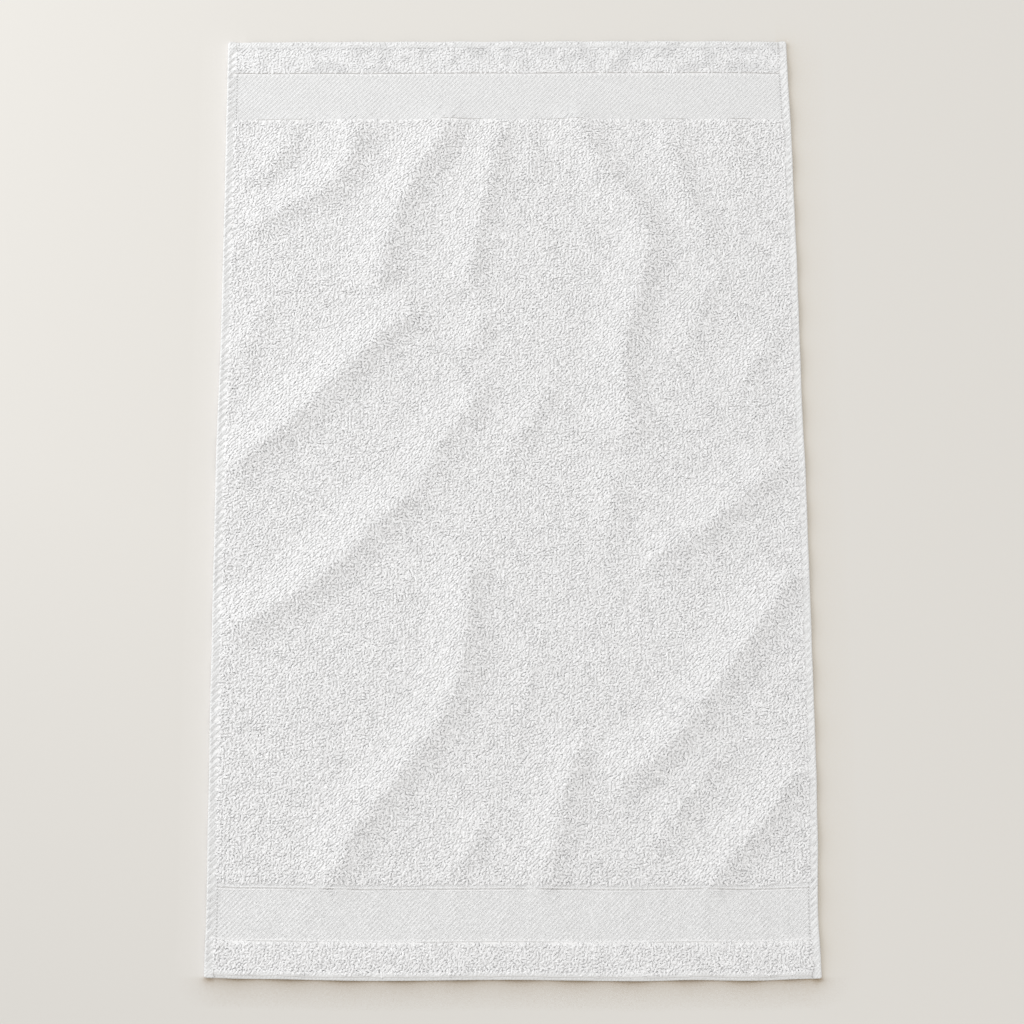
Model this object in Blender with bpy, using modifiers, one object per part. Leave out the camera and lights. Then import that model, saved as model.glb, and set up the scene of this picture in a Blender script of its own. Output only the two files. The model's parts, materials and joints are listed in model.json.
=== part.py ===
# Bath sheet of white terry cloth, lying flat with soft folds. Metres, +Z up.
# +X is across the cloth, +Y along it, and its underside rests on z = 0.
# The cloth is one piece: terry field and strips, flat woven bands, turned hems.

import math
from collections import namedtuple

import bmesh
import bpy

# Cloth as cut and sewn
WIDTH = 0.900
LENGTH = 1.500
SIDE_HEM = 0.013

# Thickness as it lies, pile included
TERRY_THICK = 0.0052
BAND_THICK = 0.0026
HEM_THICK = 0.0038
EDGE_THICK = 0.0016

# The hem's folded edge is round: its outer line is thin and stands off the ground,
# and the line inside that is a little clear of it too, except at the four corners
EDGE_RAISE = 0.0011
HEM_RAISE = 0.0004
EDGE_ROUND = 0.0020

# Width of the slope between two thicknesses
STEP = 0.0016

# Grid columns between the side hems
FIELD_COLUMNS = 36

# Zones along the cloth, from its lower end (-Y) to its upper end (+Y)
Zone = namedtuple("Zone", "name length thick rows")
ZONES = (
    Zone("lower_hem", 0.012, HEM_THICK, 1),
    Zone("lower_strip", 0.044, TERRY_THICK, 2),
    Zone("lower_band", 0.086, BAND_THICK, 3),
    Zone("field", 1.221, TERRY_THICK, 45),
    Zone("upper_band", 0.079, BAND_THICK, 3),
    Zone("upper_strip", 0.046, TERRY_THICK, 2),
    Zone("upper_hem", 0.012, HEM_THICK, 1),
)

# How far each edge lies outside the cut size, at places along it
Bulge = namedtuple("Bulge", "at out")
LEFT_EDGE = (
    Bulge(-0.750, -0.0020), Bulge(-0.660, -0.0027), Bulge(-0.490, -0.0006), Bulge(-0.310, 0.0015),
    Bulge(-0.130, 0.0030), Bulge(0.050, 0.0043), Bulge(0.240, 0.0028), Bulge(0.440, 0.0036),
    Bulge(0.640, 0.0051), Bulge(0.750, 0.0061),
)
RIGHT_EDGE = (
    Bulge(-0.750, 0.0044), Bulge(-0.650, 0.0020), Bulge(-0.540, 0.0051), Bulge(-0.440, 0.0061),
    Bulge(-0.220, 0.0053), Bulge(0.000, 0.0043), Bulge(0.150, 0.0018), Bulge(0.340, 0.0011),
    Bulge(0.540, -0.0011), Bulge(0.750, -0.0051),
)
LOWER_EDGE = (
    Bulge(-0.450, -0.0032), Bulge(-0.390, -0.0014), Bulge(-0.200, 0.0016), Bulge(-0.010, 0.0001),
    Bulge(0.180, 0.0020), Bulge(0.270, 0.0003), Bulge(0.340, 0.0014), Bulge(0.450, -0.0019),
)
UPPER_EDGE = (
    Bulge(-0.450, -0.0004), Bulge(-0.290, 0.0008), Bulge(-0.010, 0.0014), Bulge(0.180, 0.0020),
    Bulge(0.360, 0.0019), Bulge(0.450, 0.0010),
)

# Folds: the crest's height, its reach to either side, and the line that it follows
Fold = namedtuple("Fold", "name lift west east path")
FOLDS = (
    Fold("corner", 0.0045, 0.060, 0.038,
         ((-0.335, 0.630), (-0.360, 0.560), (-0.385, 0.525), (-0.430, 0.485))),
    Fold("upper_left", 0.0070, 0.072, 0.042,
         ((-0.236, 0.640), (-0.247, 0.570), (-0.270, 0.520),
          (-0.308, 0.487), (-0.370, 0.452), (-0.430, 0.416))),
    Fold("upper_inner", 0.0078, 0.074, 0.044,
         ((-0.070, 0.645), (-0.120, 0.565), (-0.155, 0.508),
          (-0.176, 0.460), (-0.196, 0.400), (-0.208, 0.300))),
    Fold("upper_centre", 0.0062, 0.066, 0.039,
         ((-0.008, 0.635), (-0.020, 0.560), (-0.034, 0.500),
          (-0.049, 0.440), (-0.058, 0.380), (-0.068, 0.300))),
    Fold("upper_short", 0.0035, 0.048, 0.030, ((0.028, 0.635), (0.036, 0.555), (0.034, 0.485))),
    Fold("right_long", 0.0080, 0.074, 0.042,
         ((0.095, 0.650), (0.140, 0.545), (0.180, 0.490), (0.210, 0.450), (0.217, 0.400),
          (0.200, 0.325), (0.176, 0.225), (0.178, 0.150), (0.192, 0.050))),
    Fold("right_tail", 0.0045, 0.060, 0.035, ((0.150, 0.055), (0.155, -0.020), (0.148, -0.105))),
    Fold("upper_right", 0.0052, 0.062, 0.037,
         ((0.238, 0.620), (0.262, 0.550), (0.275, 0.500), (0.293, 0.452), (0.340, 0.382))),
    Fold("right_corner", 0.0036, 0.048, 0.030, ((0.326, 0.640), (0.350, 0.590), (0.370, 0.510))),
    Fold("right_soft", 0.0032, 0.050, 0.034,
         ((0.352, 0.378), (0.303, 0.312), (0.278, 0.252), (0.266, 0.190))),
    Fold("left_strong", 0.0096, 0.082, 0.047,
         ((-0.120, 0.300), (-0.170, 0.272), (-0.210, 0.240), (-0.250, 0.196),
          (-0.310, 0.136), (-0.370, 0.078), (-0.452, 0.003))),
    Fold("centre_small", 0.0042, 0.054, 0.032, ((-0.028, 0.312), (-0.052, 0.250), (-0.092, 0.192))),
    Fold("centre_inner", 0.0060, 0.065, 0.039,
         ((-0.040, 0.195), (-0.066, 0.125), (-0.098, 0.085), (-0.120, 0.045), (-0.152, -0.020))),
    Fold("centre_right", 0.0036, 0.055, 0.034, ((0.078, 0.185), (0.025, 0.105), (-0.022, 0.018))),
    Fold("right_middle", 0.0082, 0.074, 0.042,
         ((0.440, 0.058), (0.375, 0.006), (0.327, -0.037), (0.275, -0.078), (0.190, -0.122))),
    Fold("left_lower", 0.0096, 0.079, 0.045,
         ((-0.125, 0.015), (-0.180, -0.035), (-0.222, -0.072), (-0.253, -0.108),
          (-0.296, -0.148), (-0.345, -0.183), (-0.452, -0.245))),
    Fold("centre_long", 0.0094, 0.072, 0.044,
         ((-0.064, -0.085), (-0.068, -0.205), (-0.083, -0.305), (-0.120, -0.382),
          (-0.180, -0.462), (-0.240, -0.543), (-0.270, -0.645))),
    Fold("right_strong", 0.0096, 0.074, 0.044,
         ((0.438, -0.118), (0.380, -0.205), (0.318, -0.292),
          (0.260, -0.367), (0.205, -0.424), (0.130, -0.470))),
    Fold("right_foot", 0.0072, 0.067, 0.039,
         ((0.108, -0.370), (0.083, -0.450), (0.065, -0.530), (0.045, -0.645))),
    Fold("lower_corner", 0.0086, 0.067, 0.039,
         ((0.440, -0.420), (0.390, -0.490), (0.332, -0.562), (0.266, -0.640))),
    Fold("lower_faint", 0.0036, 0.058, 0.035, ((0.326, -0.388), (0.255, -0.488), (0.186, -0.584))),
    Fold("centre_faint", 0.0030, 0.050, 0.032, ((0.044, -0.235), (0.024, -0.300), (0.004, -0.365))),
    Fold("foot_faint", 0.0036, 0.050, 0.032, ((-0.038, -0.475), (-0.062, -0.558), (-0.114, -0.622))),
    Fold("left_faint", 0.0030, 0.048, 0.034, ((-0.368, 0.335), (-0.400, 0.260), (-0.430, 0.175))),
    Fold("right_faint", 0.0034, 0.050, 0.032,
         ((0.436, 0.290), (0.395, 0.225), (0.364, 0.180), (0.357, 0.125))),
)
PATH_STEPS = 12
END_FADE = 0.060
CREST_ROUND = 0.14
FALL_POWER = 1.7
BLEND_POWER = 3.0

# The hems pucker a little: low waves that fade out towards the field and the corners
RIPPLE_LIFT = 0.0016
RIPPLE_PITCH = 0.083
RIPPLE_REACH = 0.050
CORNER_FLAT = 0.015
CORNER_FADE = 0.040

# White cotton
CLOTH_COLOUR = (0.84, 0.84, 0.83, 1.0)
CLOTH_ROUGHNESS = 0.95


def clear_scene():
    for obj in list(bpy.data.objects):
        bpy.data.objects.remove(obj, do_unlink=True)


def smooth(value):
    value = min(max(value, 0.0), 1.0)
    return value * value * (3.0 - 2.0 * value)


def edge_out(table, at):
    """Distance outside the cut size at a place along one edge."""
    if at <= table[0].at:
        return table[0].out
    for near, far in zip(table, table[1:]):
        if at <= far.at:
            share = smooth((at - near.at) / (far.at - near.at))
            return near.out + (far.out - near.out) * share
    return table[-1].out


def stations_along():
    """Grid lines from the lower to the upper end: place and thickness."""
    lines = [(0.0, EDGE_THICK)]
    start = 0.0
    for number, zone in enumerate(ZONES):
        end = start + zone.length
        first = EDGE_ROUND if number == 0 else start + STEP / 2
        last = LENGTH - EDGE_ROUND if number == len(ZONES) - 1 else end - STEP / 2
        for row in range(zone.rows + 1):
            lines.append((first + (last - first) * row / zone.rows, zone.thick))
        start = end
    lines.append((LENGTH, EDGE_THICK))
    return lines


def stations_across():
    """Grid lines from the left to the right side; None means the zone's own thickness."""
    inner = SIDE_HEM + STEP / 2
    lines = [(0.0, EDGE_THICK), (EDGE_ROUND, HEM_THICK), (SIDE_HEM - STEP / 2, HEM_THICK)]
    for column in range(FIELD_COLUMNS + 1):
        lines.append((inner + (WIDTH - 2 * inner) * column / FIELD_COLUMNS, None))
    for place, thick in reversed(lines[:3]):
        lines.append((WIDTH - place, thick))
    return lines


def hem_raise(column, row, columns, rows):
    """How far the hem's rounded underside stands off the ground, by the grid line counted from the edge."""
    from_side = min(column, columns - column)
    from_end = min(row, rows - row)
    if min(from_side, from_end) == 0:
        return EDGE_RAISE
    if from_side == 1 and from_end == 1:
        return 0.0
    return HEM_RAISE if min(from_side, from_end) == 1 else 0.0


def smooth_path(points):
    """Points on a smooth curve through a fold's own points."""
    ends = (points[0],) + points + (points[-1],)
    curve = []
    for a, b, c, d in zip(ends, ends[1:], ends[2:], ends[3:]):
        for step in range(PATH_STEPS):
            t = step / PATH_STEPS
            curve.append(tuple(
                b[k] + 0.5 * t * (c[k] - a[k]
                                  + t * (2 * a[k] - 5 * b[k] + 4 * c[k] - d[k]
                                         + t * (3 * (b[k] - c[k]) + d[k] - a[k])))
                for k in (0, 1)))
    curve.append(points[-1])
    return curve


def fold_lift(fold, path, x, y):
    """Height of one fold at a place: a ridge with a rounded crest, steeper on its east side."""
    near = min(range(len(path)), key=lambda k: (path[k][0] - x) ** 2 + (path[k][1] - y) ** 2)
    px, py = path[near]
    before = path[max(near - 1, 0)]
    after = path[min(near + 1, len(path) - 1)]
    run_x = after[0] - before[0]
    run_y = after[1] - before[1]
    eastward = (run_x * (y - py) - run_y * (x - px)) > 0.0
    distance = math.hypot(x - px, y - py)
    reach = fold.east if eastward else fold.west
    if distance >= reach:
        return 0.0
    away = math.hypot(distance / reach, CREST_ROUND) - CREST_ROUND
    ridge = (1.0 - away / (math.hypot(1.0, CREST_ROUND) - CREST_ROUND)) ** FALL_POWER
    from_start = math.hypot(px - path[0][0], py - path[0][1])
    from_end = math.hypot(px - path[-1][0], py - path[-1][1])
    return fold.lift * ridge * smooth(min(from_start, from_end) / END_FADE)


def ripple_lift(across, along):
    """Low waves in the hems, by the distance from the cut edges."""
    side_gap = min(across, WIDTH - across)
    end_gap = min(along, LENGTH - along)
    side_wave = math.sin(math.pi * along / RIPPLE_PITCH) ** 2
    end_wave = math.sin(math.pi * across / RIPPLE_PITCH) ** 2
    side = side_wave * smooth(1.0 - side_gap / RIPPLE_REACH)
    end = end_wave * smooth(1.0 - end_gap / RIPPLE_REACH)
    from_corner = smooth((max(side_gap, end_gap) - CORNER_FLAT) / CORNER_FADE)
    return RIPPLE_LIFT * max(side, end) * from_corner


def cloth_lift(paths, x, y, across, along):
    total = sum(fold_lift(fold, path, x, y) ** BLEND_POWER for fold, path in zip(FOLDS, paths))
    total += ripple_lift(across, along) ** BLEND_POWER
    return total ** (1.0 / BLEND_POWER)


def place_on_outline(across, along):
    """Where a place of the cut cloth lies, with its edges as uneven as they are."""
    x_flat = across - WIDTH / 2
    y_flat = along - LENGTH / 2
    right_share = across / WIDTH
    upper_share = along / LENGTH
    left = -edge_out(LEFT_EDGE, y_flat) * (1.0 - right_share)
    right = edge_out(RIGHT_EDGE, y_flat) * right_share
    lower = -edge_out(LOWER_EDGE, x_flat) * (1.0 - upper_share)
    upper = edge_out(UPPER_EDGE, x_flat) * upper_share
    return x_flat + left + right, y_flat + lower + upper


def cloth_surface(name):
    """The cloth's underside as one open grid, with its thickness kept as vertex weights."""
    across_lines = stations_across()
    along_lines = stations_along()
    columns = len(across_lines) - 1
    rows = len(along_lines) - 1
    paths = [smooth_path(fold.path) for fold in FOLDS]
    bm = bmesh.new()
    bmesh.ops.create_grid(bm, x_segments=columns, y_segments=rows, size=0.5)
    weights = bm.verts.layers.deform.verify()
    for vert in bm.verts:
        column = round((vert.co.x + 0.5) * columns)
        row = round((vert.co.y + 0.5) * rows)
        across, side_thick = across_lines[column]
        along, zone_thick = along_lines[row]
        x, y = place_on_outline(across, along)
        thick = zone_thick if side_thick is None else side_thick
        if zone_thick == EDGE_THICK:
            thick = EDGE_THICK
        z = cloth_lift(paths, x, y, across, along) + hem_raise(column, row, columns, rows)
        vert.co = (x, y, z)
        vert[weights][0] = thick / TERRY_THICK
    mesh = bpy.data.meshes.new(name)
    bm.to_mesh(mesh)
    bm.free()
    return mesh


def cloth_material():
    material = bpy.data.materials.new("white_cotton")
    material.use_nodes = True
    shader = material.node_tree.nodes["Principled BSDF"]
    shader.inputs["Base Color"].default_value = CLOTH_COLOUR
    shader.inputs["Roughness"].default_value = CLOTH_ROUGHNESS
    shader.inputs["Metallic"].default_value = 0.0
    return material


def bath_sheet_cloth(collection):
    """The whole bath sheet: an underside grid, thickened upwards zone by zone."""
    mesh = cloth_surface("bath_sheet_cloth")
    cloth = bpy.data.objects.new("bath_sheet_cloth", mesh)
    collection.objects.link(cloth)
    cloth.vertex_groups.new(name="thickness")
    thicken = cloth.modifiers.new("thickness", "SOLIDIFY")
    thicken.thickness = TERRY_THICK
    thicken.offset = 1.0
    thicken.use_rim = True
    thicken.vertex_group = "thickness"
    thicken.thickness_vertex_group = 0.0
    cloth.data.materials.append(cloth_material())
    cloth.data.shade_smooth()
    return cloth


def main():
    clear_scene()
    collection = bpy.data.collections.new("bath_sheet")
    bpy.context.scene.collection.children.link(collection)
    bath_sheet_cloth(collection)


main()
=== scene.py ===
# White terry bath sheet, spread flat with soft diagonal folds. Metres, +Z up.
# Every piece is made on a flat cloth first, and drape() then lays it over the same folds.
import json
import math

import bmesh
import bpy
import numpy as np
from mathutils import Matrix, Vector

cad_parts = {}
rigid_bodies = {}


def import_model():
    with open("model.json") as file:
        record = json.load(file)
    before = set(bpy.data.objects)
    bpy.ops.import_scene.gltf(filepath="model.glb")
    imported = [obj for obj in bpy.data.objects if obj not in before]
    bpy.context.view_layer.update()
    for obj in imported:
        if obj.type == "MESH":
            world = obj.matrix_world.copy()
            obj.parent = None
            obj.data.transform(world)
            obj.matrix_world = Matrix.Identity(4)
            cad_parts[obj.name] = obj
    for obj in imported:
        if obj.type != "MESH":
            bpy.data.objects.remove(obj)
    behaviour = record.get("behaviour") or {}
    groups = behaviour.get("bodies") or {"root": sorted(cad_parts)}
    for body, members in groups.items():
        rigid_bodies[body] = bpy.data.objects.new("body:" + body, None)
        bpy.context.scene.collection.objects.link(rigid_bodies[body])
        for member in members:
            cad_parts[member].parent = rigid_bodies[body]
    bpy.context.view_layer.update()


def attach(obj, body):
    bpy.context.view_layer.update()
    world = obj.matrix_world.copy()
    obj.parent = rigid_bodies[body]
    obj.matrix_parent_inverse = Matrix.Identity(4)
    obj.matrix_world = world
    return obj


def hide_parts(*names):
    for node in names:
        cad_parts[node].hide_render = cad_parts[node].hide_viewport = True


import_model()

cloth = {
    "width": 0.900,
    "length": 1.500,
    "sideHem": 0.013,
    "mapStep": 0.004,         # spacing of the map that the folds are read from
    "pathStep": 12,           # points read from each stretch of a crest line
    "endFade": 0.060,         # a crest falls to nothing over this length
    "crestRound": 0.14,       # rounding of a crest, as a share of its reach
    "fallPower": 1.7,         # one is a straight slope; more leaves a fold's foot flatter
    "blendPower": 3.0,        # how sharply crossing folds join
    "rippleLift": 0.0016,     # low waves in the hems
    "ripplePitch": 0.083,
    "rippleReach": 0.050,
    "cornerFlat": 0.015,
    "cornerFade": 0.040,
}

# name and length, from the lower end (-Y) to the upper end (+Y)
zones = [
    ("lowerHem", 0.012),
    ("lowerStrip", 0.044),
    ("lowerBand", 0.086),
    ("field", 1.221),
    ("upperBand", 0.079),
    ("upperStrip", 0.046),
    ("upperHem", 0.012),
]

# how far each edge lies outside the cut size: place along the edge, distance
edges = {
    "left": [(-0.750, -0.0020), (-0.660, -0.0027), (-0.490, -0.0006), (-0.310, 0.0015),
             (-0.130, 0.0030), (0.050, 0.0043), (0.240, 0.0028), (0.440, 0.0036),
             (0.640, 0.0051), (0.750, 0.0061)],
    "right": [(-0.750, 0.0044), (-0.650, 0.0020), (-0.540, 0.0051), (-0.440, 0.0061),
              (-0.220, 0.0053), (0.000, 0.0043), (0.150, 0.0018), (0.340, 0.0011),
              (0.540, -0.0011), (0.750, -0.0051)],
    "lower": [(-0.450, -0.0032), (-0.390, -0.0014), (-0.200, 0.0016), (-0.010, 0.0001),
              (0.180, 0.0020), (0.270, 0.0003), (0.340, 0.0014), (0.450, -0.0019)],
    "upper": [(-0.450, -0.0004), (-0.290, 0.0008), (-0.010, 0.0014), (0.180, 0.0020),
              (0.360, 0.0019), (0.450, 0.0010)],
}

# crest height, reach to the west, reach to the east, and the crest's own line
folds = [
    (0.0045, 0.060, 0.038, [(-0.335, 0.630), (-0.360, 0.560), (-0.385, 0.525), (-0.430, 0.485)]),
    (0.0070, 0.072, 0.042, [(-0.236, 0.640), (-0.247, 0.570), (-0.270, 0.520),
                            (-0.308, 0.487), (-0.370, 0.452), (-0.430, 0.416)]),
    (0.0078, 0.074, 0.044, [(-0.070, 0.645), (-0.120, 0.565), (-0.155, 0.508),
                            (-0.176, 0.460), (-0.196, 0.400), (-0.208, 0.300)]),
    (0.0062, 0.066, 0.039, [(-0.008, 0.635), (-0.020, 0.560), (-0.034, 0.500),
                            (-0.049, 0.440), (-0.058, 0.380), (-0.068, 0.300)]),
    (0.0035, 0.048, 0.030, [(0.028, 0.635), (0.036, 0.555), (0.034, 0.485)]),
    (0.0080, 0.074, 0.042, [(0.095, 0.650), (0.140, 0.545), (0.180, 0.490),
                            (0.210, 0.450), (0.217, 0.400), (0.200, 0.325),
                            (0.176, 0.225), (0.178, 0.150), (0.192, 0.050)]),
    (0.0045, 0.060, 0.035, [(0.150, 0.055), (0.155, -0.020), (0.148, -0.105)]),
    (0.0052, 0.062, 0.037, [(0.238, 0.620), (0.262, 0.550), (0.275, 0.500),
                            (0.293, 0.452), (0.340, 0.382)]),
    (0.0036, 0.048, 0.030, [(0.326, 0.640), (0.350, 0.590), (0.370, 0.510)]),
    (0.0032, 0.050, 0.034, [(0.352, 0.378), (0.303, 0.312), (0.278, 0.252), (0.266, 0.190)]),
    (0.0096, 0.082, 0.047, [(-0.120, 0.300), (-0.170, 0.272), (-0.210, 0.240), (-0.250, 0.196),
                            (-0.310, 0.136), (-0.370, 0.078), (-0.452, 0.003)]),
    (0.0042, 0.054, 0.032, [(-0.028, 0.312), (-0.052, 0.250), (-0.092, 0.192)]),
    (0.0060, 0.065, 0.039, [(-0.040, 0.195), (-0.066, 0.125), (-0.098, 0.085),
                            (-0.120, 0.045), (-0.152, -0.020)]),
    (0.0036, 0.055, 0.034, [(0.078, 0.185), (0.025, 0.105), (-0.022, 0.018)]),
    (0.0082, 0.074, 0.042, [(0.440, 0.058), (0.375, 0.006), (0.327, -0.037),
                            (0.275, -0.078), (0.190, -0.122)]),
    (0.0096, 0.079, 0.045, [(-0.125, 0.015), (-0.180, -0.035), (-0.222, -0.072), (-0.253, -0.108),
                            (-0.296, -0.148), (-0.345, -0.183), (-0.452, -0.245)]),
    (0.0094, 0.072, 0.044, [(-0.064, -0.085), (-0.068, -0.205), (-0.083, -0.305),
                            (-0.120, -0.382), (-0.180, -0.462), (-0.240, -0.543),
                            (-0.270, -0.645)]),
    (0.0096, 0.074, 0.044, [(0.438, -0.118), (0.380, -0.205), (0.318, -0.292),
                            (0.260, -0.367), (0.205, -0.424), (0.130, -0.470)]),
    (0.0072, 0.067, 0.039, [(0.108, -0.370), (0.083, -0.450), (0.065, -0.530), (0.045, -0.645)]),
    (0.0086, 0.067, 0.039, [(0.440, -0.420), (0.390, -0.490), (0.332, -0.562), (0.266, -0.640)]),
    (0.0036, 0.058, 0.035, [(0.326, -0.388), (0.255, -0.488), (0.186, -0.584)]),
    (0.0030, 0.050, 0.032, [(0.044, -0.235), (0.024, -0.300), (0.004, -0.365)]),
    (0.0036, 0.050, 0.032, [(-0.038, -0.475), (-0.062, -0.558), (-0.114, -0.622)]),
    (0.0030, 0.048, 0.034, [(-0.368, 0.335), (-0.400, 0.260), (-0.430, 0.175)]),
    (0.0034, 0.050, 0.032, [(0.436, 0.290), (0.395, 0.225), (0.364, 0.180), (0.357, 0.125)]),
]

halfWidth = cloth["width"] / 2
halfLength = cloth["length"] / 2


# Laying the flat cloth over its folds

def smoothStep(value):
    value = np.clip(value, 0.0, 1.0)
    return value * value * (3.0 - 2.0 * value)


def edgeOut(side, at):
    places, outs = np.array(edges[side]).T
    number = np.clip(np.searchsorted(places, at) - 1, 0, len(places) - 2)
    share = smoothStep((at - places[number]) / (places[number + 1] - places[number]))
    return outs[number] + (outs[number + 1] - outs[number]) * share


def crestLine(points):
    # a smooth curve through a fold's own points
    ends = np.array([points[0], *points, points[-1]])
    line = []
    for a, b, c, d in zip(ends, ends[1:], ends[2:], ends[3:]):
        for step in range(cloth["pathStep"]):
            t = step / cloth["pathStep"]
            line.append(b + 0.5 * t * (c - a + t * (2 * a - 5 * b + 4 * c - d + t * (3 * (b - c) + d - a))))
    line.append(ends[-1])
    return np.array(line)


def foldLift(fold, x, y):
    lift, west, east, points = fold
    line = crestLine(points)
    run = np.gradient(line, axis=0)
    gapX = x[:, None] - line[None, :, 0]
    gapY = y[:, None] - line[None, :, 1]
    near = np.argmin(gapX ** 2 + gapY ** 2, axis=1)
    row = np.arange(len(x))
    dx, dy = gapX[row, near], gapY[row, near]
    eastward = run[near, 0] * dy - run[near, 1] * dx > 0.0
    reach = np.where(eastward, east, west)
    rounding = cloth["crestRound"]
    away = np.hypot(np.hypot(dx, dy) / reach, rounding) - rounding
    ridge = np.maximum(1.0 - away / (math.hypot(1.0, rounding) - rounding), 0.0) ** cloth["fallPower"]
    fromEnds = np.minimum(np.hypot(*(line[near] - line[0]).T), np.hypot(*(line[near] - line[-1]).T))
    return lift * ridge * smoothStep(fromEnds / cloth["endFade"])


def rippleLift(u, v):
    sideGap = halfWidth - np.abs(u)
    endGap = halfLength - np.abs(v)
    sideWave = np.sin(np.pi * (v + halfLength) / cloth["ripplePitch"]) ** 2
    endWave = np.sin(np.pi * (u + halfWidth) / cloth["ripplePitch"]) ** 2
    side = sideWave * smoothStep(1.0 - sideGap / cloth["rippleReach"])
    end = endWave * smoothStep(1.0 - endGap / cloth["rippleReach"])
    corner = smoothStep((np.maximum(sideGap, endGap) - cloth["cornerFlat"]) / cloth["cornerFade"])
    return cloth["rippleLift"] * np.maximum(side, end) * corner


def makeLiftMap():
    # the height of the folds on a grid over the flat cloth
    across = np.linspace(-halfWidth, halfWidth, round(cloth["width"] / cloth["mapStep"]) + 1)
    along = np.linspace(-halfLength, halfLength, round(cloth["length"] / cloth["mapStep"]) + 1)
    u, v = [a.ravel() for a in np.meshgrid(across, along)]
    power = cloth["blendPower"]
    total = rippleLift(u, v) ** power
    for fold in folds:
        total += foldLift(fold, u, v) ** power
    return (total ** (1.0 / power)).reshape(len(along), len(across))


liftMap = makeLiftMap()
slopeY, slopeX = np.gradient(liftMap, cloth["mapStep"])


def readMap(grid, u, v):
    column = np.clip((u + halfWidth) / cloth["mapStep"], 0, grid.shape[1] - 1.001)
    row = np.clip((v + halfLength) / cloth["mapStep"], 0, grid.shape[0] - 1.001)
    c, r = column.astype(int), row.astype(int)
    fc, fr = column - c, row - r
    lower = grid[r, c] * (1 - fc) + grid[r, c + 1] * fc
    upper = grid[r + 1, c] * (1 - fc) + grid[r + 1, c + 1] * fc
    return lower * (1 - fr) + upper * fr


def drape(points):
    # flat cloth to laid cloth: uneven outline, then folds; z is the height over the underside
    u, v, height = np.asarray(points, float).reshape(-1, 3).T
    rightShare = u / cloth["width"] + 0.5
    upperShare = v / cloth["length"] + 0.5
    x = u - edgeOut("left", v) * (1 - rightShare) + edgeOut("right", v) * rightShare
    y = v - edgeOut("lower", u) * (1 - upperShare) + edgeOut("upper", u) * upperShare
    return np.stack([x, y, height + readMap(liftMap, u, v)], axis=1)


def zoneSpan(name):
    start = -halfLength
    for zone, length in zones:
        if zone == name:
            return start, start + length
        start += length


print("folds mapped, highest", round(float(liftMap.max()) * 1000, 1), "mm")


# Mesh and node helpers

def makeObject(name, points, faces, material=None):
    mesh = bpy.data.meshes.new(name)
    mesh.from_pydata(points.tolist(), [], faces)
    mesh.update()
    made = bpy.data.objects.new(name, mesh)
    bpy.context.scene.collection.objects.link(made)
    if material:
        mesh.materials.append(material)
    mesh.shade_smooth()
    return made


def turnOutwards(made):
    bm = bmesh.new()
    bm.from_mesh(made.data)
    bmesh.ops.recalc_face_normals(bm, faces=bm.faces)
    bm.to_mesh(made.data)
    bm.free()


def gridFaces(rows, columns, first=0, flip=False):
    row, column = np.meshgrid(np.arange(rows - 1), np.arange(columns - 1), indexing="ij")
    a = first + row * columns + column
    quads = np.stack([a, a + 1, a + columns + 1, a + columns], axis=-1).reshape(-1, 4)
    return (quads[:, ::-1] if flip else quads).tolist()


def tubeFaces(rings, sides):
    faces = []
    for ring in range(rings - 1):
        for side in range(sides):
            a = ring * sides + side
            b = ring * sides + (side + 1) % sides
            faces.append((a, b, b + sides, a + sides))
    faces.append(tuple(reversed(range(sides))))
    faces.append(tuple(range((rings - 1) * sides, rings * sides)))
    return faces


def addNode(tree, kind, inputs=None, **settings):
    made = tree.nodes.new(kind)
    for name, value in settings.items():
        setattr(made, name, value)
    for key, value in (inputs or {}).items():
        if isinstance(value, bpy.types.NodeSocket):
            tree.links.new(value, made.inputs[key])
        else:
            made.inputs[key].default_value = value
    return made


def firstOut(made):
    return next(socket for socket in made.outputs if socket.enabled)


def mathNode(tree, operation, a, b=0.0):
    return addNode(tree, "ShaderNodeMath", {0: a, 1: b}, operation=operation).outputs[0]


def finishPiece(made):
    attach(made, "root")
    return made


# Shader groups: colours, roughness and heights that change over the cloth

def newGroup(name, inputs, outputs):
    group = bpy.data.node_groups.new(name, "ShaderNodeTree")
    for socketName, kind, value in inputs:
        socket = group.interface.new_socket(name=socketName, in_out="INPUT", socket_type=kind)
        socket.default_value = value
    for socketName, kind in outputs:
        group.interface.new_socket(name=socketName, in_out="OUTPUT", socket_type=kind)
    return group, group.nodes.new("NodeGroupInput"), group.nodes.new("NodeGroupOutput")


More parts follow.
